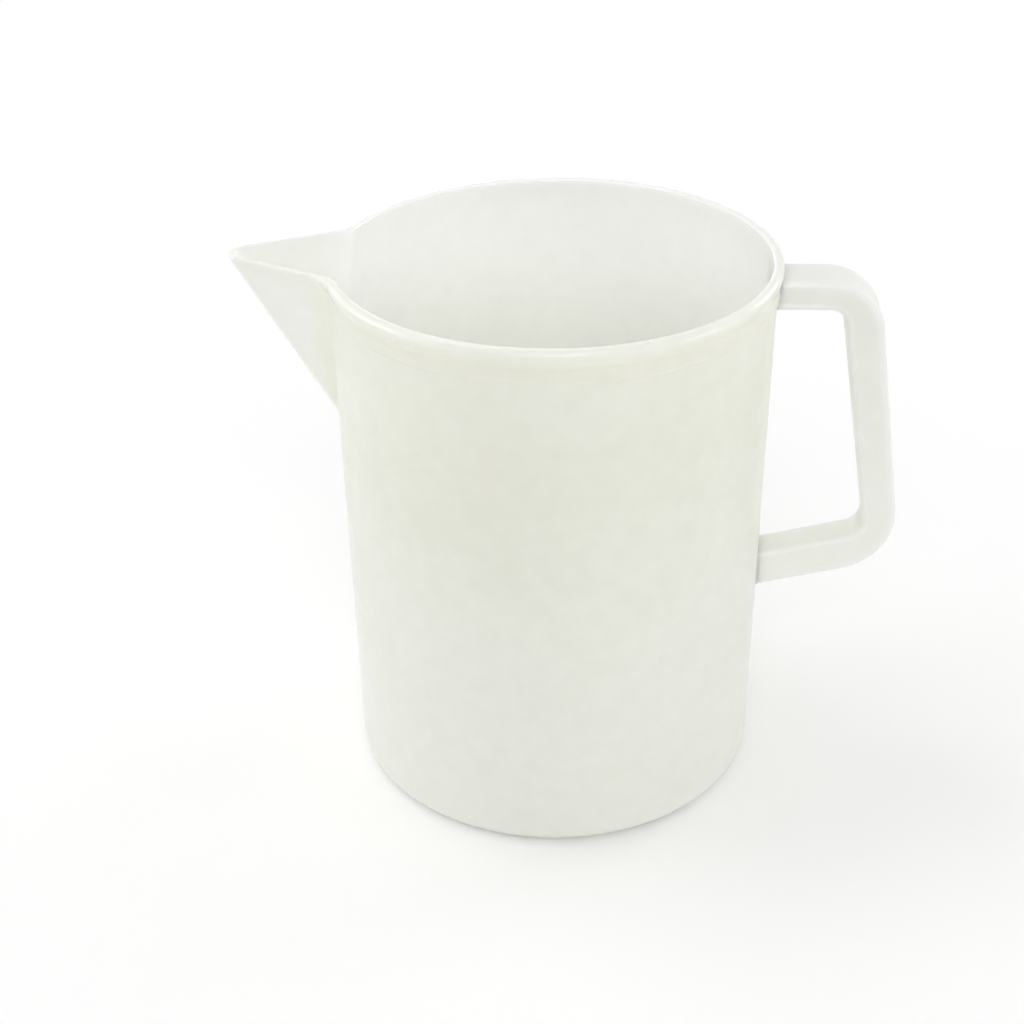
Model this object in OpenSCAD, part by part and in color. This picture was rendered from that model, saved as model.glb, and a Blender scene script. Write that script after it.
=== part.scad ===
// Pouring jug: a round, slightly tapered cup with a pointed spout and a closed handle.
// The jug is one plastic moulding. Its regions are separate solids that meet face to face.
// Millimetres. The origin is the middle of the underside, +Z is up, the handle is towards +X
// and the spout towards -X.

/* [Cup] */
// Height from the table to the top of the rim
cup_h = 174.5; // [150:0.5:210]
// Outer diameter where the straight side would meet the table
base_d = 131.6; // [124:0.2:134]
// Outer diameter at the foot of the collar
shoulder_d = 135.8; // [132:0.2:142]
// Thickness of the side wall
wall = 2; // [1.4:0.1:3]
// Thickness of the floor
floor_t = 2.5; // [1.6:0.1:4]
// Outer radius of the rounded heel
heel_r = 6; // [3:0.5:8]
// Radius of the fillet between the floor and the side, inside
floor_fillet_r = 3.5; // [1:0.5:5]
// Height at which the base meets the side wall
base_h = 10; // [8.5:0.5:20]

/* [Rim] */
// Height from the foot of the collar to the top of the rim
collar_h = 10.9; // [7:0.1:16]
// How far the collar stands out from the side wall
collar_step = 0.7; // [0.3:0.1:1.5]
// Height of the slope at the foot of the collar
shoulder_h = 1.2; // [0.6:0.1:2]
// Thickness of the rounded bead round the rim
bead_d = 3.8; // [3:0.1:5]

/* [Spout] */
// Distance from the cup's axis to the tip of the spout
spout_reach = 99.5; // [88:0.5:110]
// Depth of the spout below the rim, at the wall
spout_depth = 56.5; // [40:0.5:75]
// Half of the angle between the spout's two sides, seen from above
spout_half_angle = 27; // [20:0.5:35]
// Radius of the spout's nose at the rim
spout_nose_r = 6; // [4:0.5:8]
// Thickness of the spout's sides at the rim
spout_wall = 2; // [1.4:0.1:2.6]

/* [Handle] */
// Depth of the upper arm's top face below the rim
arm_drop = 4.9; // [4.2:0.1:9]
// Thickness of the upper arm
upper_arm_t = 9.4; // [7:0.1:12]
// Thickness of the grip at its upper end
grip_top_t = 11.4; // [8:0.1:13]
// Thickness of the grip at its lower end
grip_low_t = 10.2; // [8:0.1:13]
// Thickness of the lower arm
lower_arm_t = 11.6; // [8:0.1:13]
// Width of the handle at the upper arm
handle_top_w = 16.5; // [13:0.5:20]
// Width of the handle at the lower arm
handle_low_w = 13; // [11:0.5:18]
// Distance from the cup's axis to the grip's centreline at the upper corner
grip_top_x = 93; // [89:0.5:105]
// Distance from the cup's axis to the grip's centreline at the lower corner
grip_low_x = 106; // [96:0.5:116]
// Height between the handle's upper and lower corners, on its centreline
handle_span = 87.1; // [75:0.1:105]
// Angle at which the lower arm rises towards the grip
arm_rise = 14; // [0:1:20]
// Radius of the centreline at both corners
bend_r = 12; // [9:0.5:16]
// Radius of the rounded edges along the handle
edge_r = 3; // [1.5:0.5:4]
// Radius at which the arms widen where they join the cup
root_r = 2; // [1:0.5:5]

/* [Hidden] */
$fn = 96;

shoulder_z = cup_h - collar_h;
bead_z = cup_h - bead_d;                  // foot of the bead, where the collar ends
taper = (shoulder_d - base_d) / 2 / shoulder_z;
collar_r = shoulder_d / 2 + collar_step;
bead_mid_r = collar_r - wall / 2;
spout_root_z = cup_h - spout_depth;
nose_mid_x = spout_reach - spout_nose_r;
nose_steps = 12;                          // flats round half of the nose
overlap = 1;                              // how far cutting shapes run past what they cut
arm_sink = 5;                             // how far an arm's centreline starts inside the cup
bend_steps = 8;
flare_steps = 5;
edge_steps = 4;
lean = atan2(grip_low_x - grip_top_x, handle_span);
upper_corner = [grip_top_x, cup_h - arm_drop - upper_arm_t / 2];
lower_corner = upper_corner + [grip_low_x - grip_top_x, -handle_span];
grip_heading = lean - 90;
lower_heading = arm_rise - 180;

function side_r(z) = base_d / 2 + taper * z;

// Plan of the spout at the rim, seen from above, with its sides moved in by inset.
function nose_arc(inset) = [
    for (i = [-nose_steps : nose_steps])
    let (a = 180 + i * (90 - spout_half_angle) / nose_steps)
    [(spout_nose_r - inset) * cos(a) - nose_mid_x, (spout_nose_r - inset) * sin(a)]
];

function side_y(inset, x) =
    (spout_nose_r - inset) / cos(spout_half_angle) + (nose_mid_x + x) * tan(spout_half_angle);

// The cone between that plan and a point near the cup's side, raised above the rim by rise.
// Moving the point in keeps the two sides of the spout evenly thick.
module spout_cone(inset, rise) {
    tip_x = -side_r(spout_root_z) + inset / sin(spout_half_angle);
    back_x = tip_x + 3 * wall;
    grow = (spout_depth + rise) / spout_depth;
    plan = concat([[back_x, side_y(inset, back_x)]], nose_arc(inset),
                  [[back_x, -side_y(inset, back_x)]]);
    translate([tip_x, 0, cup_h + rise])
        mirror([0, 0, 1])
            linear_extrude(height = spout_depth + rise, scale = 0)
                polygon([for (p = plan) [(p.x - tip_x) * grow, p.y * grow]]);
}

// Everything inside the cup's outer surface, as one solid.
module cup_outside() {
    rotate_extrude()
        union() {
            polygon([[0, 0], [side_r(0), 0], [shoulder_d / 2, shoulder_z],
                     [collar_r, shoulder_z + shoulder_h], [collar_r, bead_z],
                     [bead_mid_r, bead_z], [bead_mid_r, cup_h + overlap], [0, cup_h + overlap]]);
            bead_section();
        }
}

// The bead's round section, filled below down to the top of the collar.
module bead_section() {
    translate([bead_mid_r, bead_z + bead_d / 2])
        circle(d = bead_d);
    translate([bead_mid_r - wall / 2, bead_z])
        square([wall, bead_d / 2]);
}

module spout_channel() {
    spout_cone(spout_wall, overlap);
}

module base() {
    color("ivory")
        rotate_extrude()
            difference() {
                intersection() {
                    base_section();
                    square([side_r(base_h), base_h]);
                }
                base_hollow();
            }
}

// Half-section of the base as if it were solid, rounded at the heel.
module base_section() {
    heel_x = side_r(heel_r) - heel_r;
    translate([heel_x, heel_r])
        circle(heel_r);
    square([heel_x, heel_r]);
    polygon([[0, heel_r], [side_r(heel_r), heel_r], [side_r(base_h), base_h], [0, base_h]]);
}

// Half-section of the hollow above the floor, up to the top of the base.
module base_hollow() {
    fillet_z = floor_t + floor_fillet_r;
    fillet_x = side_r(fillet_z) - wall - floor_fillet_r;
    translate([fillet_x, fillet_z])
        circle(floor_fillet_r);
    translate([0, floor_t])
        square([fillet_x, floor_fillet_r]);
    polygon([[0, fillet_z], [side_r(fillet_z) - wall, fillet_z],
             [side_r(base_h + overlap) - wall, base_h + overlap], [0, base_h + overlap]]);
}

module cup_wall() {
    color("ivory")
        difference() {
            rotate_extrude()
                polygon([[side_r(base_h) - wall, base_h], [side_r(base_h), base_h],
                         [shoulder_d / 2, shoulder_z], [shoulder_d / 2 - wall, shoulder_z]]);
            spout_channel();
        }
}

module collar() {
    slope_z = shoulder_z + shoulder_h;
    color("ivory")
        difference() {
            rotate_extrude()
                polygon([[shoulder_d / 2 - wall, shoulder_z], [shoulder_d / 2, shoulder_z],
                         [collar_r, slope_z], [collar_r, bead_z], [collar_r - wall, bead_z],
                         [collar_r - wall, slope_z]]);
            spout_channel();
        }
}

module rim_bead() {
    color("ivory")
        difference() {
            rotate_extrude()
                bead_section();
            spout_channel();
        }
}

module spout() {
    color("ivory")
        difference() {
            spout_cone(0, 0);
            spout_channel();
            cup_outside();
        }
}

// A rounded rectangle across the handle: w along Y, t across the centreline.
function handle_section(w, t) = [
    for (corner = [0 : 3], i = [0 : edge_steps])
    let (a = corner * 90 + i * 90 / edge_steps,
         sx = corner == 0 || corner == 3 ? 1 : -1,
         sy = corner < 2 ? 1 : -1)
    [sx * (w / 2 - edge_r) + edge_r * cos(a), sy * (t / 2 - edge_r) + edge_r * sin(a)]
];

// A station is [centre, heading, thickness, width]; the centre is in the XZ plane.
function station_ring(s) = [
    for (p = handle_section(s[3], s[2]))
    [s[0].x - p.y * sin(s[1]), p.x, s[0].y + p.y * cos(s[1])]
];

module swept(stations) {
    n = len(handle_section(1, 1));
    m = len(stations);
    polyhedron(
        [for (s = stations) each station_ring(s)],
        concat(
            [[for (j = [n - 1 : -1 : 0]) j]],
            [for (i = [0 : m - 2], j = [0 : n - 1])
             [i * n + j, i * n + (j + 1) % n, (i + 1) * n + (j + 1) % n, (i + 1) * n + j]],
            [[for (j = [0 : n - 1]) (m - 1) * n + j]]));
}

function mix(a, b, share) = a + (b - a) * share;

// Extra half-width at distance d from the cup's side.
function flare(d) =
    d >= root_r ? 0 : d <= 0 ? root_r : root_r - sqrt(root_r * root_r - pow(root_r - d, 2));

// Straight stations of an arm from inside the cup outwards, along its heading.
function arm_stations(root, heading, t, w) = [
    for (i = [-1 : flare_steps])
    let (d = i < 0 ? -arm_sink : root_r * i / flare_steps)
    [root + d * [cos(heading), sin(heading)], heading, t, w + 2 * flare(d)]
];

// Stations round a clockwise corner, from heading a to heading b.
function bend_stations(corner, a, b, t0, t1, w0, w1) =
    let (run = bend_r * tan((a - b) / 2),
         mid = corner - run * [cos(a), sin(a)] + bend_r * [sin(a), -cos(a)])
    [for (i = [0 : bend_steps])
     let (share = i / bend_steps, h = mix(a, b, share))
     [mid + bend_r * [-sin(h), cos(h)], h, mix(t0, t1, share), mix(w0, w1, share)]];

// The width narrows evenly with height, from the upper corner to the lower one.
function width_at(z) =
    mix(handle_low_w, handle_top_w, (z - lower_corner.y) / (upper_corner.y - lower_corner.y));

upper_bend = bend_stations(upper_corner, 0, grip_heading, upper_arm_t, grip_top_t,
                           handle_top_w, width_at(upper_corner.y - bend_r));
lower_bend = bend_stations(lower_corner, grip_heading, lower_heading, grip_low_t, lower_arm_t,
                           width_at(lower_corner.y + bend_r), handle_low_w);
upper_root = [collar_r, upper_corner.y];
lower_reach = (lower_corner.x - side_r(lower_corner.y)) / cos(arm_rise);
lower_root = lower_corner - lower_reach * [cos(arm_rise), sin(arm_rise)];

module handle_upper_arm() {
    color("ivory")
        difference() {
            swept(concat(arm_stations(upper_root, 0, upper_arm_t, handle_top_w), upper_bend));
            cup_outside();
        }
}

module handle_grip() {
    color("ivory")
        swept([upper_bend[bend_steps], lower_bend[0]]);
}

module handle_lower_arm() {
    inward = arm_stations(lower_root, arm_rise, lower_arm_t, handle_low_w);
    turned = [for (i = [len(inward) - 1 : -1 : 0])
              [inward[i][0], lower_heading, inward[i][2], inward[i][3]]];
    color("ivory")
        difference() {
            swept(concat(lower_bend, turned));
            cup_outside();
        }
}

base();
cup_wall();
collar();
rim_bead();
spout();
handle_upper_arm();
handle_grip();
handle_lower_arm();
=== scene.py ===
from math import atan2, cos, hypot, pi, radians, sin, sqrt, tan

import bmesh
import bpy
from mathutils import Matrix, Vector
from mathutils.kdtree import KDTree


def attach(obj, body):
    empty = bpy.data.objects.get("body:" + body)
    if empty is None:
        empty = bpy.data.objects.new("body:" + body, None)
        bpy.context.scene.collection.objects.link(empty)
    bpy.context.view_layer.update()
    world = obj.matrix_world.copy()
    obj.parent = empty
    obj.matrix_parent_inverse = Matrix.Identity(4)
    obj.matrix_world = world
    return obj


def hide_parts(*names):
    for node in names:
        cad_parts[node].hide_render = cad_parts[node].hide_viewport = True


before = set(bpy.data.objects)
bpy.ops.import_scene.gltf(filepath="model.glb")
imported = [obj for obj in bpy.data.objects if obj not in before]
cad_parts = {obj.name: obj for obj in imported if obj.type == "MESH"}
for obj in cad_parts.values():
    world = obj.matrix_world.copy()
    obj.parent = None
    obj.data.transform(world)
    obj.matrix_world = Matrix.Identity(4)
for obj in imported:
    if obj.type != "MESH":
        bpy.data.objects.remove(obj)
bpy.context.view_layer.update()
scene = bpy.context.scene
scene.view_settings.view_transform = "Standard"
mm = 0.001
white = (1, 1, 1, 1)
print("frame loaded:", sorted(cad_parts))


def mix(a, b, share):
    return a + (b - a) * share


def clamp(value, low=0.0, high=1.0):
    return max(low, min(high, value))


def ease(value):
    value = clamp(value)
    return value * value * (3 - 2 * value)


def softMax(a, b, width):  # the larger of the two, rounded where they meet
    gap = abs(a - b)
    rise = (width - gap) ** 2 / (4 * width) if gap < width else 0
    return max(a, b) + rise


def selectNone():
    if bpy.context.object and bpy.context.object.mode != "OBJECT":
        bpy.ops.object.mode_set(mode="OBJECT")
    bpy.ops.object.select_all(action="DESELECT")


def selectEdges(piece, wanted):  # in edit mode, only the edges that pass the test
    bpy.ops.mesh.select_all(action="DESELECT")
    shape = bmesh.from_edit_mesh(piece.data)
    for edge in shape.edges:
        if wanted(edge):
            edge.select_set(True)
    bmesh.update_edit_mesh(piece.data)


def keep(name):
    piece = bpy.context.object
    piece.name = name
    piece.data.name = name
    return piece


def cleanShell(mergeDistance=0.00001):
    bpy.ops.object.mode_set(mode="EDIT")
    bpy.ops.mesh.select_all(action="SELECT")
    bpy.ops.mesh.remove_doubles(threshold=mergeDistance)
    bpy.ops.mesh.normals_make_consistent(inside=False)
    bpy.ops.object.mode_set(mode="OBJECT")


view = {
    "target": (0, 0, 95),      # lengths in mm, angles in degrees
    "distance": 589.41,
    "elevation": 29.215,
    "azimuth": -87.5,
    "pan": -1.3121,
    "tilt": -0.8652,
    "roll": -0.2005,
    "focalPixels": 1820,
    "imagePixels": 1024,
    "sensor": 36,
    "nearest": 0.01,           # in metres
}


def turned(a, b, angle):
    return a * cos(angle) + b * sin(angle), b * cos(angle) - a * sin(angle)


def makeCamera():
    target = Vector(view["target"])
    elevation, azimuth = radians(view["elevation"]), radians(view["azimuth"])
    away = Vector((cos(elevation) * cos(azimuth), cos(elevation) * sin(azimuth), sin(elevation)))
    spot = target + away * view["distance"]
    ahead = -away
    right = ahead.cross(Vector((0, 0, 1))).normalized()
    up = right.cross(ahead)
    ahead, right = turned(ahead, right, radians(view["pan"]))
    ahead, up = turned(ahead, up, radians(view["tilt"]))
    right, up = turned(right, up, radians(view["roll"]))
    selectNone()
    bpy.ops.object.camera_add()
    camera = bpy.context.object
    camera.name = "viewCamera"
    camera.data.sensor_width = view["sensor"]
    camera.data.lens = view["focalPixels"] / view["imagePixels"] * view["sensor"]
    camera.data.clip_start = view["nearest"]
    turn = Matrix((right, up, -ahead)).transposed().to_4x4()
    camera.matrix_world = Matrix.Translation(spot * mm) @ turn
    scene.camera = camera


makeCamera()
print("camera placed")


class Wire:
    def __init__(self, recipe, socket):
        self.recipe = recipe
        self.socket = socket

    def calc(self, operation, first, second):
        return self.recipe.add("ShaderNodeMath", {"operation": operation}, {0: first, 1: second})

    def __add__(self, other):
        return self.calc("ADD", self, other)

    def __radd__(self, other):
        return self.calc("ADD", other, self)

    def __sub__(self, other):
        return self.calc("SUBTRACT", self, other)

    def __rsub__(self, other):
        return self.calc("SUBTRACT", other, self)

    def __mul__(self, other):
        return self.calc("MULTIPLY", self, other)

    def __truediv__(self, other):
        return self.calc("DIVIDE", self, other)


class Recipe:
    def __init__(self, tree):
        self.tree = tree
        tree.nodes.clear()

    def add(self, kind, settings, sockets, out=0):
        node = self.tree.nodes.new(kind)
        for key, value in settings.items():
            setattr(node, key, value)
        for key, value in sockets.items():
            if isinstance(value, Wire):
                self.tree.links.new(value.socket, node.inputs[key])
            else:
                node.inputs[key].default_value = value
        return Wire(self, node.outputs[out]) if len(node.outputs) else None

    def colourMix(self, first, second, share):
        return self.add("ShaderNodeMix", {"data_type": "RGBA"},
                        {"Factor": share, 6: first, 7: second}, 2)

    def seenRay(self):  # rays that show a backdrop: the view itself, gloss and glass
        camera, gloss, glass = (self.add("ShaderNodeLightPath", {}, {}, name) for name in
                                ("Is Camera Ray", "Is Glossy Ray", "Is Transmission Ray"))
        return camera + gloss + glass

    def clampedStep(self, value, low, high):
        return self.add("ShaderNodeMapRange", {"interpolation_type": "SMOOTHSTEP"},
                        {"Value": value, "From Min": low, "From Max": high})


room = {                        # in metres
    "halfWidth": 3.0,
    "front": -1.5,
    "back": 3.0,
    "coveRadius": 0.3,
    "coveSteps": 16,
    "height": 0.4,
    "colour": (0.93, 0.93, 0.93, 1),
    "whiteEnds": (0.12, 0.34),  # distance over which the seen floor turns plain white
    "lift": 0.053,              # white added where the floor is seen, not where it lights
}
air = {                         # brightness of the air by direction
    "overhead": 0.88, "highFront": 0.52, "highBack": 0.64, "highLeft": 0.66, "highRight": 0.45,
    "highStart": (0.15, 0.45),  # height of view where it begins
    "highEnd": (0.7, 0.95),     # and where it turns to overhead
    "sideBlend": (-0.02, 0.02),
    "tiny": 0.0001,             # keeps the division safe straight overhead
}


def makeRoom():
    selectNone()
    bpy.ops.mesh.primitive_plane_add(size=1)
    floor = keep("floorSweep")
    for vertex in floor.data.vertices:
        vertex.co.x *= 2 * room["halfWidth"]
        vertex.co.y = room["front"] if vertex.co.y < 0 else room["back"]
    bpy.ops.object.mode_set(mode="EDIT")
    selectEdges(floor, lambda edge: all(v.co.y > 0 for v in edge.verts))
    bpy.ops.mesh.extrude_region_move(TRANSFORM_OT_translate={"value": (0, 0, room["height"])})
    selectEdges(floor, lambda edge: len(edge.link_faces) == 2)
    bpy.ops.mesh.bevel(offset=room["coveRadius"], segments=room["coveSteps"], profile=0.5)
    bpy.ops.object.mode_set(mode="OBJECT")
    bpy.ops.object.shade_smooth()
    paint = bpy.data.materials.new("studioPaper")
    paint.use_nodes = True
    r = Recipe(paint.node_tree)
    matte = r.add("ShaderNodeBsdfDiffuse", {}, {"Color": room["colour"]})
    glow = r.add("ShaderNodeEmission", {}, {"Color": white, "Strength": room["lift"]})
    near = r.add("ShaderNodeAddShader", {}, {0: matte, 1: glow})
    far = r.add("ShaderNodeEmission", {}, {"Color": white, "Strength": 1.0})
    place = r.add("ShaderNodeTexCoord", {}, {}, "Object")
    distance = r.add("ShaderNodeVectorMath", {"operation": "LENGTH"}, {0: place}, "Value")
    both = r.add("ShaderNodeMixShader", {}, {
        "Fac": r.clampedStep(distance, *room["whiteEnds"]), 1: near, 2: far})
    final = r.add("ShaderNodeMixShader", {}, {"Fac": r.seenRay(), 1: matte, 2: both})
    r.add("ShaderNodeOutputMaterial", {}, {"Surface": final})
    floor.data.materials.append(paint)


def makeWorld():
    world = bpy.data.worlds.new("studioAir")
    scene.world = world
    world.use_nodes = True
    r = Recipe(world.node_tree)
    heading = r.add("ShaderNodeTexCoord", {}, {}, "Generated")
    x, y, z = (r.add("ShaderNodeSeparateXYZ", {}, {"Vector": heading}, name) for name in "XYZ")
    high, above = r.clampedStep(z, *air["highStart"]), r.clampedStep(z, *air["highEnd"])
    level = x * x + y * y + air["tiny"]
    back, right = r.clampedStep(y, *air["sideBlend"]), r.clampedStep(x, *air["sideBlend"])
    around = (y * y / level * (back * air["highBack"] + (1 - back) * air["highFront"])
              + x * x / level * (right * air["highRight"] + (1 - right) * air["highLeft"]))
    power = above * air["overhead"] + (1 - above) * high * around
    dim = r.add("ShaderNodeBackground", {}, {"Color": white, "Strength": power})
    bright = r.add("ShaderNodeBackground", {}, {"Color": white, "Strength": 1.0})
    final = r.add("ShaderNodeMixShader", {}, {"Fac": r.seenRay(), 1: dim, 2: bright})
    r.add("ShaderNodeOutputWorld", {}, {"Surface": final})


lamps = {                       # round lamps, in metres and watts
    "keyTop": {"place": (-0.4, 0.25, 1.3), "size": 0.5, "power": 1.44},
    "sideLeft": {"place": (-1.25, 0.05, 0.45), "size": 0.8, "power": 4.2},
    "backLow": {"place": (-0.35, 1.25, 0.16), "size": 0.6, "power": 1.9},
    "rightLow": {"place": (1.2, -0.3, 0.1), "size": 0.5, "power": 3.1},
    "frontMid": {"place": (0.1, -1.1, 0.75), "size": 0.7, "power": 4.4},
    "leftBack": {"place": (-0.9, 0.7, 0.5), "size": 0.6, "power": 0.8},
    "rightBack": {"place": (0.9, 0.7, 0.5), "size": 0.6, "power": 2.3},
    # small and close above the mouth, for the far side of the rim
    "overMouth": {"place": (-0.012, 0.012, 0.19), "target": (-0.012, 0.012, 0),
                  "size": 0.05, "power": 0.013},
}
lampTarget = (0, 0, 0.09)       # where the lamps without a target of their own point


def makeLamps():
    for name, facts in lamps.items():
        place = Vector(facts["place"])
        target = Vector(facts.get("target", lampTarget))
        turn = (target - place).to_track_quat("-Z", "Y").to_euler()
        selectNone()
        bpy.ops.object.light_add(type="AREA", location=place, rotation=turn)
        lamp = bpy.context.object
        lamp.name = name
        lamp.data.shape = "DISK"
        lamp.data.size = facts["size"]
        lamp.data.energy = facts["power"]
        lamp.visible_camera = False


makeRoom()
makeWorld()
makeLamps()
print("studio ready")

plastic = {
    "fresh": ((0.88, 0.888, 0.85, 1), (0.845, 0.855, 0.815, 1)),  # light and deep patches
    # yellowed colours; their light end paints the bottom lighter and their deep end paints the top
    # darker, as painted light and painted shade
    "agedShadedColour": ((0.925, 0.933, 0.82, 1), (0.775, 0.783, 0.68, 1)),
    "paintedShadeHeights": (0.03, 0.15),  # heights between which the colour is painted deeper towards the top, in metres: painted shade above, painted light at the bottom
    "patchShare": 0.35,         # share of the deep colour that comes from random patches; the rest is painted shade that grows with height
    "cloudScale": 16,
    "mottleScale": 150,
    "grainScale": 1900,
    "flowScale": (900, 900, 45),  # stretched upwards, for the faint scuffs
    "cloudShare": 0.6,          # clouds against mottle in the patches
    "patchEnds": (0.3, 0.7),
    "scuffEnds": (0.6, 0.75),
    "roughness": 0.36,
    "mottleRoughness": 0.12,
    "scuffRoughness": 0.08,
    "rimPolish": 0.17,          # how much smoother the rim bead is
    "bumpStrength": 0.12,
    "bumpDistance": 0.0002,
    "mottleBump": 2,
    "scuffBump": 0.4,
    "subsurface": 1.0,
    "scatter": (1.0, 1.0, 0.95),
    "scatterDepth": 0.006,
    "ior": 1.49,
}


def makePlastic():
    material = bpy.data.materials.new("milkyPolypropylene")
    material.use_nodes = True
    r = Recipe(material.node_tree)
    place = r.add("ShaderNodeTexCoord", {}, {}, "Object")
    cloud, mottle, grain = (
        r.add("ShaderNodeTexNoise", {}, {"Vector": place, "Scale": plastic[scale], "Detail": detail})
        for scale, detail in (("cloudScale", 3), ("mottleScale", 4), ("grainScale", 2)))
    flow = r.add("ShaderNodeMapping", {}, {"Vector": place, "Scale": plastic["flowScale"]})
    rubbed = r.add("ShaderNodeTexNoise", {}, {"Vector": flow, "Scale": 1, "Detail": 2})
    scuff = r.clampedStep(rubbed, *plastic["scuffEnds"])
    tone = cloud * plastic["cloudShare"] + mottle * (1 - plastic["cloudShare"])
    patchy = r.clampedStep(tone, *plastic["patchEnds"])
    yellowingAndShade, polish = (r.add("ShaderNodeAttribute", {"attribute_name": name}, {}, "Fac")
                         for name in ("yellowingAndShade", "polish"))
    height = r.add("ShaderNodeSeparateXYZ", {}, {"Vector": place}, "Z")
    # deeper towards the top as painted shade, with random patches mixed in
    patchesAndPaintedShade = (patchy * plastic["patchShare"]
              + r.clampedStep(height, *plastic["paintedShadeHeights"]) * (1 - plastic["patchShare"]))
    fresh = r.colourMix(*plastic["fresh"], patchy)
    agedShadedColour = r.colourMix(*plastic["agedShadedColour"], patchesAndPaintedShade)
    colour = r.colourMix(fresh, agedShadedColour, yellowingAndShade)
    rough = (plastic["roughness"] + (mottle - 0.5) * plastic["mottleRoughness"]
             + scuff * plastic["scuffRoughness"] - polish * plastic["rimPolish"])
    bump = r.add("ShaderNodeBump", {}, {
        "Strength": plastic["bumpStrength"], "Distance": plastic["bumpDistance"],
        "Height": grain + mottle * plastic["mottleBump"] - scuff * plastic["scuffBump"]})
    skin = r.add("ShaderNodeBsdfPrincipled", {"subsurface_method": "RANDOM_WALK"}, {
        "Base Color": colour, "Roughness": rough, "Normal": bump,
        "IOR": plastic["ior"], "Subsurface Weight": plastic["subsurface"],
        "Subsurface Radius": plastic["scatter"], "Subsurface Scale": plastic["scatterDepth"],
    })
    r.add("ShaderNodeOutputMaterial", {}, {"Surface": skin})
    return material


milkyPlastic = makePlastic()
print("plastic mixed")

# the cup, its rim and its spout are one moulded shell, spun and then pulled, in mm
cup = {
    "height": 174.5,
    "baseDiameter": 131.6,
    "shoulderDiameter": 135.8,
    "wall": 2.0,
    "floor": 2.5,
    "heelRadius": 6.0,
    "floorFillet": 3.5,
    "collarHeight": 10.9,
    "collarStep": 0.7,
    "slopeHeight": 1.2,
    "bead": 3.8,
    "beadFootZ": 168.4,
    "innerEdge": 0.8,          # rounding of the rim towards the inside
    "mouthFlare": 0.25,        # extra width of the inside at the mouth
    "agedShadedOutside": 1.0,        # share of yellowing and of the painted shade that deepens the colour towards the top
    "agedShadedInside": 0.35,
    "agedShadedSpout": 0.4,
    # the bead's share is raised to paint it darker: painted shade over the lamp light on it
    "agedShadedRim": 0.7,
    "undersideZ": 1.0,         # all that is lower belongs to the outside
    "polishedRise": 2.0,       # height over which the smooth finish of the rim sets in
    "polishedInside": 0.9,     # the inside begins this far in from the bead's middle
    "turns": 360,              # steps round the cup
    "gather": 0.7,             # how strongly the steps crowd towards the spout
    "ringGaps": {"plain": 8, "pulled": 1.2, "slope": 0.2, "collar": 0.8, "bead": 0.6, "flat": 12},
    "arcSteps": {"heel": 10, "bead": 10, "innerEdge": 8, "fillet": 7},
}
spout = {
    "reach": 99.75,
    "depth": 56.5,
    "halfAngle": 27,
    "widest": 65,              # the cup is plain beyond this angle from the spout
    "noseRadius": 6.0,
    "wall": 2.0,
    "lipRadius": 0.85,
    "lipShape": 0.75,          # 1 is a round lip, less is squarer
    "rootMargin": 2.0,         # how far below its root the spout still shapes the wall
    "fineMargin": 5.0,         # and how far below it the close rings begin
    "rootBlend": 0.6,          # softness of the crease at the foot
    "rimBlend": 2.7,           # and at the rim
    "beadFade": 6.0,           # run over which the bead thins out into the lip
    "tintFade": 10.0,          # run over which the spout takes its own tint
    "polishFade": 3.0,         # and over which it loses the rim's finish
}

shoulderZ = cup["height"] - cup["collarHeight"]
slopeTopZ = shoulderZ + cup["slopeHeight"]
taper = (cup["shoulderDiameter"] - cup["baseDiameter"]) / 2 / shoulderZ
collarRadius = cup["shoulderDiameter"] / 2 + cup["collarStep"]
beadMiddle = Vector((collarRadius - cup["wall"] / 2, cup["height"] - cup["bead"] / 2))
spoutRootZ = cup["height"] - spout["depth"]


def outerRadius(z):
    side = cup["baseDiameter"] / 2 + taper * z
    if z <= shoulderZ:
        return side
    return mix(cup["shoulderDiameter"] / 2, collarRadius, ease((z - shoulderZ) / cup["slopeHeight"]))


def innerRadius(z):
    side = cup["baseDiameter"] / 2 + taper * z - cup["wall"]
    return side + cup["mouthFlare"] * ease((z - spoutRootZ) / (shoulderZ - spoutRootZ))


def arc(centreR, centreZ, radius, start, stop, steps):
    return [(centreR + radius * cos(radians(mix(start, stop, i / steps))),
             centreZ + radius * sin(radians(mix(start, stop, i / steps))))
            for i in range(steps + 1)]


def levels(low, high, step):
    count = max(1, round((high - low) / step))
    return [mix(low, high, i / count) for i in range(count + 1)]


def rimProfile():
    # each point is (r, z) round the cup, then (share of the wall, z) where it is part of the lip
    lip, shape = spout["lipRadius"], spout["lipShape"]
    lipZ = cup["height"] - lip
    middle, bead = beadMiddle, cup["bead"] / 2
    steps = cup["arcSteps"]
    points = []
    for z in levels(cup["beadFootZ"], middle.y, cup["ringGaps"]["bead"])[1:-1]:
        rise = ease((z - cup["beadFootZ"]) / (middle.y - cup["beadFootZ"]))
        points.append((mix(collarRadius, middle.x + bead, rise), z, 1, min(z, lipZ)))
    for i in range(steps["bead"] + 1):
        angle = radians(90 * i / steps["bead"])
        points.append((middle.x + bead * cos(angle), middle.y + bead * sin(angle),
                       0.5 + 0.5 * cos(angle) ** shape, lipZ + lip * sin(angle) ** shape))
    edge = cup["innerEdge"]
    edgeZ = cup["height"] - edge
    for i in range(1, steps["innerEdge"] + 1):
        angle = radians(90 * i / steps["innerEdge"])
        points.append((mix(middle.x, innerRadius(edgeZ), sin(angle)),
                       edgeZ + edge * cos(angle),
                       0.5 - 0.5 * sin(angle) ** shape, lipZ + lip * max(0, cos(angle)) ** shape))
    return points


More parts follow.
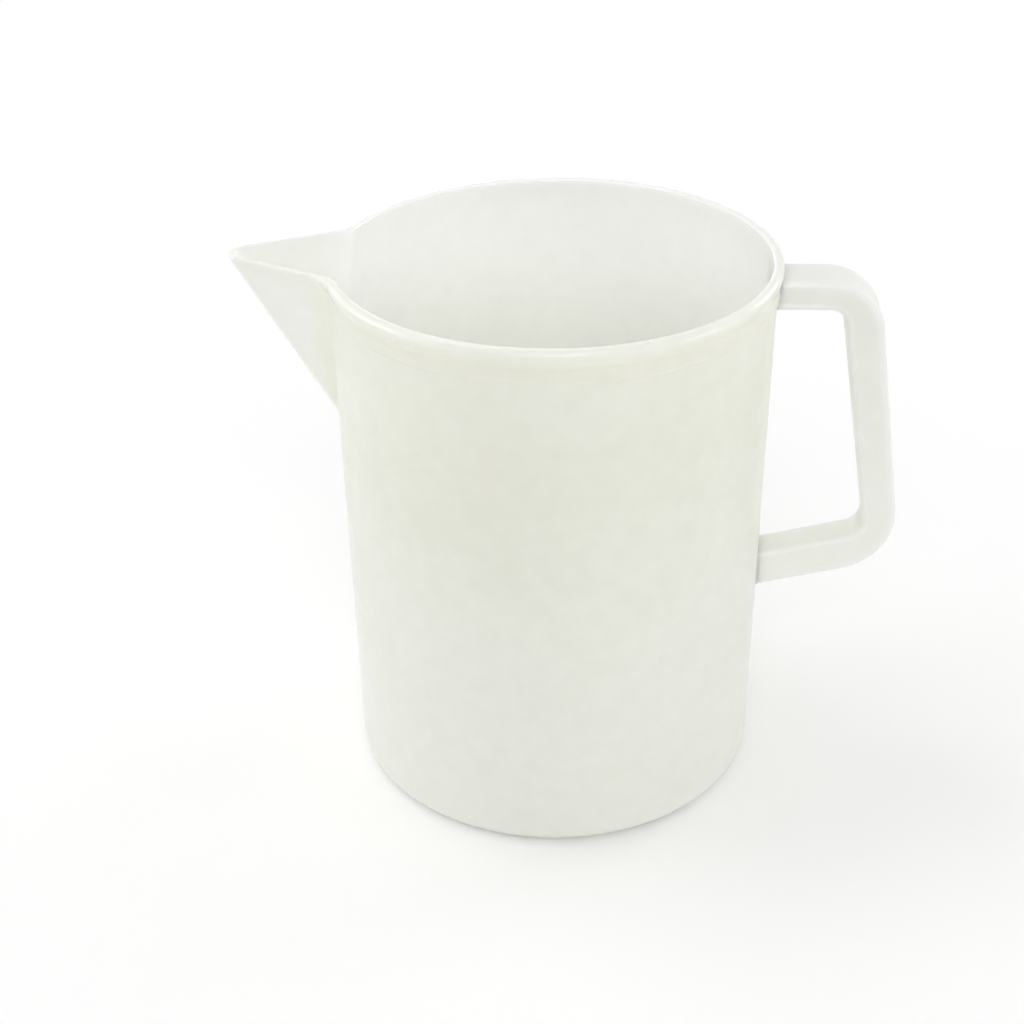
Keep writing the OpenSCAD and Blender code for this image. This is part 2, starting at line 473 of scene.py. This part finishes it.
def cupProfile():
    heel = cup["heelRadius"]
    heelR = outerRadius(heel) - heel
    fillet = cup["floorFillet"]
    filletZ = cup["floor"] + fillet
    filletR = outerRadius(filletZ) - cup["wall"] - fillet
    fineZ = spoutRootZ - spout["fineMargin"]
    gaps, steps = cup["ringGaps"], cup["arcSteps"]
    outside = (levels(heel, fineZ, gaps["plain"])[1:]
               + levels(fineZ, shoulderZ, gaps["pulled"])[1:]
               + levels(shoulderZ, slopeTopZ, gaps["slope"])[1:]
               + levels(slopeTopZ, cup["beadFootZ"], gaps["collar"])[1:])
    inside = (levels(filletZ, fineZ, gaps["plain"])
              + levels(fineZ, cup["height"] - cup["innerEdge"], gaps["pulled"])[1:-1])
    points = [(r, 0) for r in levels(0, heelR, gaps["flat"])]
    points += arc(heelR, heel, heel, -90, 0, steps["heel"])[1:]
    points += [(outerRadius(z), z) for z in outside]
    points += rimProfile()
    points += [(innerRadius(z), z) for z in inside[::-1]]
    points += arc(filletR, filletZ, fillet, 0, -90, steps["fillet"])[1:]
    points += [(r, cup["floor"]) for r in levels(0, filletR, gaps["flat"])[-2::-1]]
    return points


def spoutRadius(angle, z, inset):
    share = (z - spoutRootZ) / spout["depth"]
    half = radians(spout["halfAngle"])
    rootX = outerRadius(spoutRootZ) - inset / sin(half)
    nose = max(0.0, (spout["noseRadius"] - inset) * share)
    middle = mix(rootX, spout["reach"] - spout["noseRadius"], share)
    if angle > radians(spout["widest"]):
        return 0
    if angle < atan2(nose * cos(half), middle + nose * sin(half)):
        return middle * cos(angle) + sqrt(nose ** 2 - (middle * sin(angle)) ** 2)
    return (nose + middle * sin(half)) / sin(angle + half)


def pulledRadius(angle, z, inset):
    plain = innerRadius(z) if inset else outerRadius(z)
    share = clamp((z - spoutRootZ) / spout["depth"])
    blend = mix(spout["rootBlend"], spout["rimBlend"], share)
    return softMax(plain, spoutRadius(angle, z, inset), blend)


def pullSpout(point, lipPlace):
    r, z = hypot(point.x, point.y), point.z
    turn = atan2(point.y, -point.x)
    turn -= cup["gather"] * sin(turn)
    if z > spoutRootZ - spout["rootMargin"]:
        angle = abs(turn)
        share = (r - innerRadius(z)) / (outerRadius(z) - innerRadius(z))
        if lipPlace:
            reach = pulledRadius(angle, cup["height"], 0) - outerRadius(cup["height"])
            fade = ease(reach / spout["beadFade"])
            share = mix(share, lipPlace[0], fade)
            z = mix(z, lipPlace[1], fade)
        r = mix(pulledRadius(angle, z, spout["wall"]), pulledRadius(angle, z, 0), share)
    return Vector((-r * cos(turn), r * sin(turn), z))


def yellowingAndShadeShare(plain, pulled):  # the outside is yellowed most and takes the most painted shade, the inside of the mouth least
    r, z = hypot(plain.x, plain.y), plain.z
    outside = z < cup["undersideZ"] or r > (innerRadius(z) + outerRadius(z)) / 2
    spoutShare = ease((hypot(pulled.x, pulled.y) - r) / spout["tintFade"])
    if not outside:
        # the inside takes less yellowing and less painted shade towards the mouth
        wallShare = cup["agedShadedInside"] * (1 - ease((z - spoutRootZ) / spout["depth"]))
        return mix(wallShare, cup["agedShadedSpout"], spoutShare)
    skin = mix(cup["agedShadedOutside"], cup["agedShadedSpout"], spoutShare)
    # the rim bead is painted darker by its own share: painted shade
    return mix(skin, cup["agedShadedRim"], ease((z - cup["beadFootZ"]) / cup["bead"]))


def polished(plain, pulled):  # the bead round the mouth, without the spout
    r = hypot(plain.x, plain.y)
    rise = cup["polishedRise"]
    foot = cup["height"] - rise if r < beadMiddle.x - cup["polishedInside"] else cup["beadFootZ"]
    pull = hypot(pulled.x, pulled.y) - r
    return ease((plain.z - foot) / rise) * (1 - ease(pull / spout["polishFade"]))


def makeCup():
    points = cupProfile()
    selectNone()
    bpy.ops.mesh.primitive_circle_add(vertices=len(points), fill_type="NOTHING")
    piece = keep("cupShell")
    finder = KDTree(len(points))
    for i, (vertex, point) in enumerate(zip(piece.data.vertices, points)):
        vertex.co = (-point[0] * mm, 0, point[1] * mm)
        finder.insert((point[0], point[1], 0), i)
    finder.balance()
    bpy.ops.object.mode_set(mode="EDIT")
    axisWidth = 1e-7
    selectEdges(piece, lambda edge: all(hypot(v.co.x, v.co.y) < axisWidth for v in edge.verts))
    bpy.ops.mesh.delete(type="EDGE")
    bpy.ops.mesh.select_all(action="SELECT")
    bpy.ops.mesh.spin(steps=cup["turns"], angle=2 * pi, center=(0, 0, 0), axis=(0, 0, 1))
    bpy.ops.object.mode_set(mode="OBJECT")
    cleanShell()
    # shares of yellowing and painted shade, and of the rim's polish, for each point
    piece.data.attributes.new("yellowingAndShade", "FLOAT", "POINT")
    piece.data.attributes.new("polish", "FLOAT", "POINT")
    ageAndShade, polish = (piece.data.attributes[name].data for name in ("yellowingAndShade", "polish"))
    for vertex in piece.data.vertices:
        spot = vertex.co / mm
        point = points[finder.find((hypot(spot.x, spot.y), spot.z, 0))[1]]
        vertex.co = pullSpout(spot, point[2:]) * mm
        ageAndShade[vertex.index].value = yellowingAndShadeShare(spot, vertex.co / mm)
        polish[vertex.index].value = polished(spot, vertex.co / mm)
    bpy.ops.object.shade_smooth()
    piece.data.materials.append(milkyPlastic)
    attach(piece, "root")
    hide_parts("base", "cup_wall", "collar", "rim_bead", "spout")
    return piece


cupShell = makeCup()
print("cup shell:", len(cupShell.data.vertices), "vertices")

# the handle is a bar bent between an outer and an inner guide line, in mm
handle = {
    "topZ": 169.6,
    "upperThickness": 9.4,
    "upperCorner": (93, 164.9),      # on the centreline, x and z
    "lowerCorner": (106, 77.8),
    "gripTop": 11.4,
    "gripLow": 10.2,
    "lowerThickness": 11.6,
    "rise": 14,                      # slope of the lower arm, degrees
    "outerRadii": (18, 20),          # corner radii, upper and lower
    "innerRadii": (5, 6.6),
    "widths": (16, 12.8),            # at the upper and the lower corner
    "edge": 1.6,
    "recess": 0.45,
    "recessWall": 1.3,
    "recessEnd": (0.79, 0.87),       # stretch of the run where the recess fades out
    "sunk": 0.8,                     # how far the ends run into the cup's wall
    "rootFlare": 0.8,
    "rootGather": 2.0,               # how strongly the cuts crowd towards the roots
    "sections": (0.14, 0.30, 0.66, 0.82),  # ends of the upper arm, corner, grip and lower corner
    "plainThickness": 10.0,          # the straight bar that is bent
    "plainWidth": 14.0,
    "cuts": 100,
    "edgeSteps": 6,
    "sideSteps": 7,
    "topSteps": 4,
    "wallTries": 6,                  # steps of the search for the cup's wall
    "farFromRoot": 99,
}


def crossing(p, d, q, e):
    return p + d * ((q - p).cross(e) / d.cross(e))


def armDirection():  # down the lower arm, towards the cup
    rise = radians(handle["rise"])
    return Vector((-cos(rise), -sin(rise)))


def guide(side, radii):  # one side of the handle: three lines with two rounded corners
    upper, lower = Vector(handle["upperCorner"]), Vector(handle["lowerCorner"])
    along = (lower - upper).normalized()
    across = Vector((-along.y, along.x))
    slope = armDirection()
    armZ = handle["topZ"] - (0 if side > 0 else handle["upperThickness"])
    gripA = upper + across * side * handle["gripTop"] / 2
    gripB = lower + across * side * handle["gripLow"] / 2
    armPoint = lower + Vector((-slope.y, slope.x)) * side * handle["lowerThickness"] / 2
    level = Vector((1, 0))
    gripLine = (gripB - gripA).normalized()
    corners = (crossing(Vector((0, armZ)), level, gripA, gripLine),
               crossing(gripA, gripLine, armPoint, slope))
    lines = (level, gripLine, slope)
    rounded = []
    for corner, before, after, radius in zip(corners, lines, lines[1:], radii):
        half = before.angle(after) / 2
        start = corner - before * radius * tan(half)
        inward = Vector((before.y, -before.x))
        rounded.append((start, start + inward * radius, 2 * half))
    return rounded


def guidePoint(rounded, section, share):
    # sections 1 and 3 are the rounded corners, 2 is the grip
    if section in (1, 3):
        start, middle, turn = rounded[section // 2]
        arm = start - middle
        angle = -turn * share
        return middle + Vector((arm.x * cos(angle) - arm.y * sin(angle),
                                arm.x * sin(angle) + arm.y * cos(angle)))
    return guidePoint(rounded, 1, 1).lerp(guidePoint(rounded, 3, 0), share)


outerGuide = guide(1, handle["outerRadii"])
innerGuide = guide(-1, handle["innerRadii"])


def cupHit(point, y, direction):  # how far along its direction a line from the point meets the cup
    travelled = 0
    for _ in range(handle["wallTries"]):
        spot = point + direction * travelled
        travelled += (spot.x - sqrt(outerRadius(spot.y) ** 2 - y * y)) / abs(direction.x)
    return travelled


def handleSpot(run, across, y):
    # run goes from 0 at the upper root to 1 at the lower one, across from -1 inside to 1 outside
    share = (across + 1) / 2
    a, b, c, d = handle["sections"]
    if a <= run <= d:
        section = 1 if run < b else 2 if run < c else 3
        low, high = ((a, b), (b, c), (c, d))[section - 1]
        part = (run - low) / (high - low)
        spot = guidePoint(innerGuide, section, part).lerp(guidePoint(outerGuide, section, part), share)
        return spot, handle["farFromRoot"]
    if run < a:
        spot, part, direction = handleSpot(a, across, y)[0], run / a, Vector((-1, 0))
    else:
        spot, part, direction = handleSpot(d, across, y)[0], (1 - run) / (1 - d), armDirection()
    part **= handle["rootGather"]
    reach = cupHit(spot, y, direction) + handle["sunk"]
    return spot + direction * reach * (1 - part), reach * part - handle["sunk"]


def handleSection():  # rounded outline as (across in mm from the middle, y, depth of recess)
    high, wide, edge = handle["plainThickness"] / 2, handle["plainWidth"] / 2, handle["edge"]
    edgeSteps, sideSteps, topSteps = (handle[key] for key in ("edgeSteps", "sideSteps", "topSteps"))
    quarter = []
    for i in range(edgeSteps + 1):
        angle = radians(90 * i / edgeSteps)
        quarter.append((high - edge + edge * sin(angle), wide - edge + edge * cos(angle), 0))
    flat = high - edge
    side = [(flat * i / sideSteps, wide, ease((flat - flat * i / sideSteps) / handle["recessWall"]))
            for i in range(-sideSteps, sideSteps + 1)][1:-1]
    top = [(high, (wide - edge) * i / topSteps, 0) for i in range(topSteps - 1, -topSteps, -1)]
    outline = side + quarter + top + [(a, -y, d) for a, y, d in quarter[::-1]]
    outline += [(a, -y, d) for a, y, d in side[::-1]] + [(-a, -y, d) for a, y, d in quarter]
    outline += [(-a, y, d) for a, y, d in top[::-1]] + [(-a, y, d) for a, y, d in quarter[::-1]]
    return outline


def handlePoint(run, y, across, dip):  # where a point of the straight bar comes to lie
    high, wide, edge = handle["plainThickness"] / 2, handle["plainWidth"] / 2, handle["edge"]
    upperZ, lowerZ = handle["upperCorner"][1], handle["lowerCorner"][1]
    spot, _ = handleSpot(run, across / high, 0)
    # keep the rounded edges round where the handle is thicker or thinner than the straight bar
    inner, _ = handleSpot(run, -1, 0)
    outer, _ = handleSpot(run, 1, 0)
    real = (outer - inner).length
    rim, rimBand = high - abs(across), edge + handle["recessWall"]
    edgeRun = rim if rim < rimBand else mix(rimBand, real / 2, (rim - rimBand) / (high - rimBand))
    share = (1 - 2 * edgeRun / real) * (1 if across > 0 else -1)
    width = mix(handle["widths"][1], handle["widths"][0],
                clamp((spot.y - lowerZ) / (upperZ - lowerZ)))
    side = abs(y) / wide
    sideways = (abs(y) - wide + width / 2 if abs(y) > wide - edge
                else side * (width / 2 - edge) / (1 - edge / wide))
    fadeStart, fadeStop = handle["recessEnd"]
    fade = 1 - ease((run - fadeStart) / (fadeStop - fadeStart))
    sideways -= dip * handle["recess"] * fade
    _, gone = handleSpot(run, share, sideways)
    if gone < handle["rootFlare"]:
        left = handle["rootFlare"] - max(gone, 0)
        flare = handle["rootFlare"] - sqrt(handle["rootFlare"] ** 2 - left ** 2)
        sideways += flare * clamp(side)
    spot, _ = handleSpot(run, share, sideways)
    return spot.x * mm, (sideways if y > 0 else -sideways) * mm, spot.y * mm


def makeHandle():
    outline = handleSection()
    selectNone()
    bpy.ops.mesh.primitive_circle_add(vertices=len(outline), fill_type="NGON")
    piece = keep("handle")
    for vertex, (across, y, _) in zip(piece.data.vertices, outline):
        vertex.co = (0, y, across)
    bpy.ops.object.mode_set(mode="EDIT")
    bpy.ops.mesh.select_all(action="SELECT")
    bpy.ops.mesh.extrude_region_move(TRANSFORM_OT_translate={"value": (1, 0, 0)})
    selectEdges(piece, lambda edge: abs(edge.verts[0].co.x - edge.verts[1].co.x) > 0.5)
    bpy.ops.mesh.subdivide(number_cuts=handle["cuts"])
    bpy.ops.object.mode_set(mode="OBJECT")
    depth = {(round(a, 4), round(y, 4)): d for a, y, d in outline}
    for vertex in piece.data.vertices:
        run, y, across = vertex.co
        vertex.co = handlePoint(run, y, across, depth[(round(across, 4), round(y, 4))])
    cleanShell()
    bpy.ops.object.shade_smooth()
    piece.data.materials.append(milkyPlastic)
    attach(piece, "root")
    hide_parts("handle_upper_arm", "handle_grip", "handle_lower_arm")
    return piece


handlePiece = makeHandle()
print("handle:", len(handlePiece.data.vertices), "vertices")
